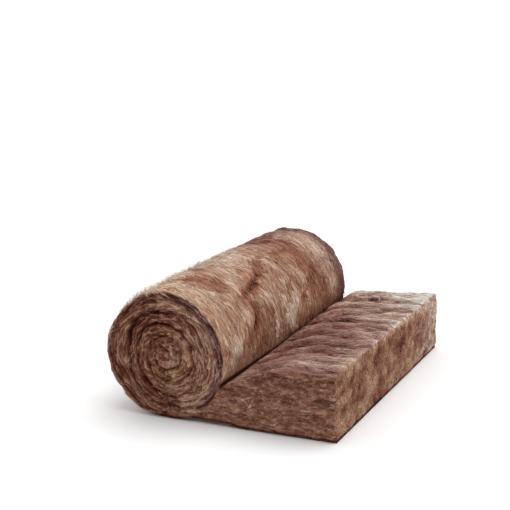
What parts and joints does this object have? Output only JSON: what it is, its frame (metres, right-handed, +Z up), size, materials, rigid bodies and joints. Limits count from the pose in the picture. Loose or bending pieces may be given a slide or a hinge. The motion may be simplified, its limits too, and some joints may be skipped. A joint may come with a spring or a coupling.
{
  "type": "insulation roll",
  "caption": "Partly unrolled roll of brown mineral wool insulation: a wound blanket lying on its side, with its outer end run out flat as a thick tail.",
  "frame": {"origin": "on the floor, in the middle of the whole piece", "axes": "+Z up; +Y along the roll, which is the blanket's width; +X from the roll along the flat tail to its cut end"},
  "size_m": [0.918, 1.2, 0.492],
  "materials": {
    "mineral_wool": "matte"
  },
  "bodies": {
    "root": {"wool_blanket": "mineral_wool"}
  },
  "joints": []
}
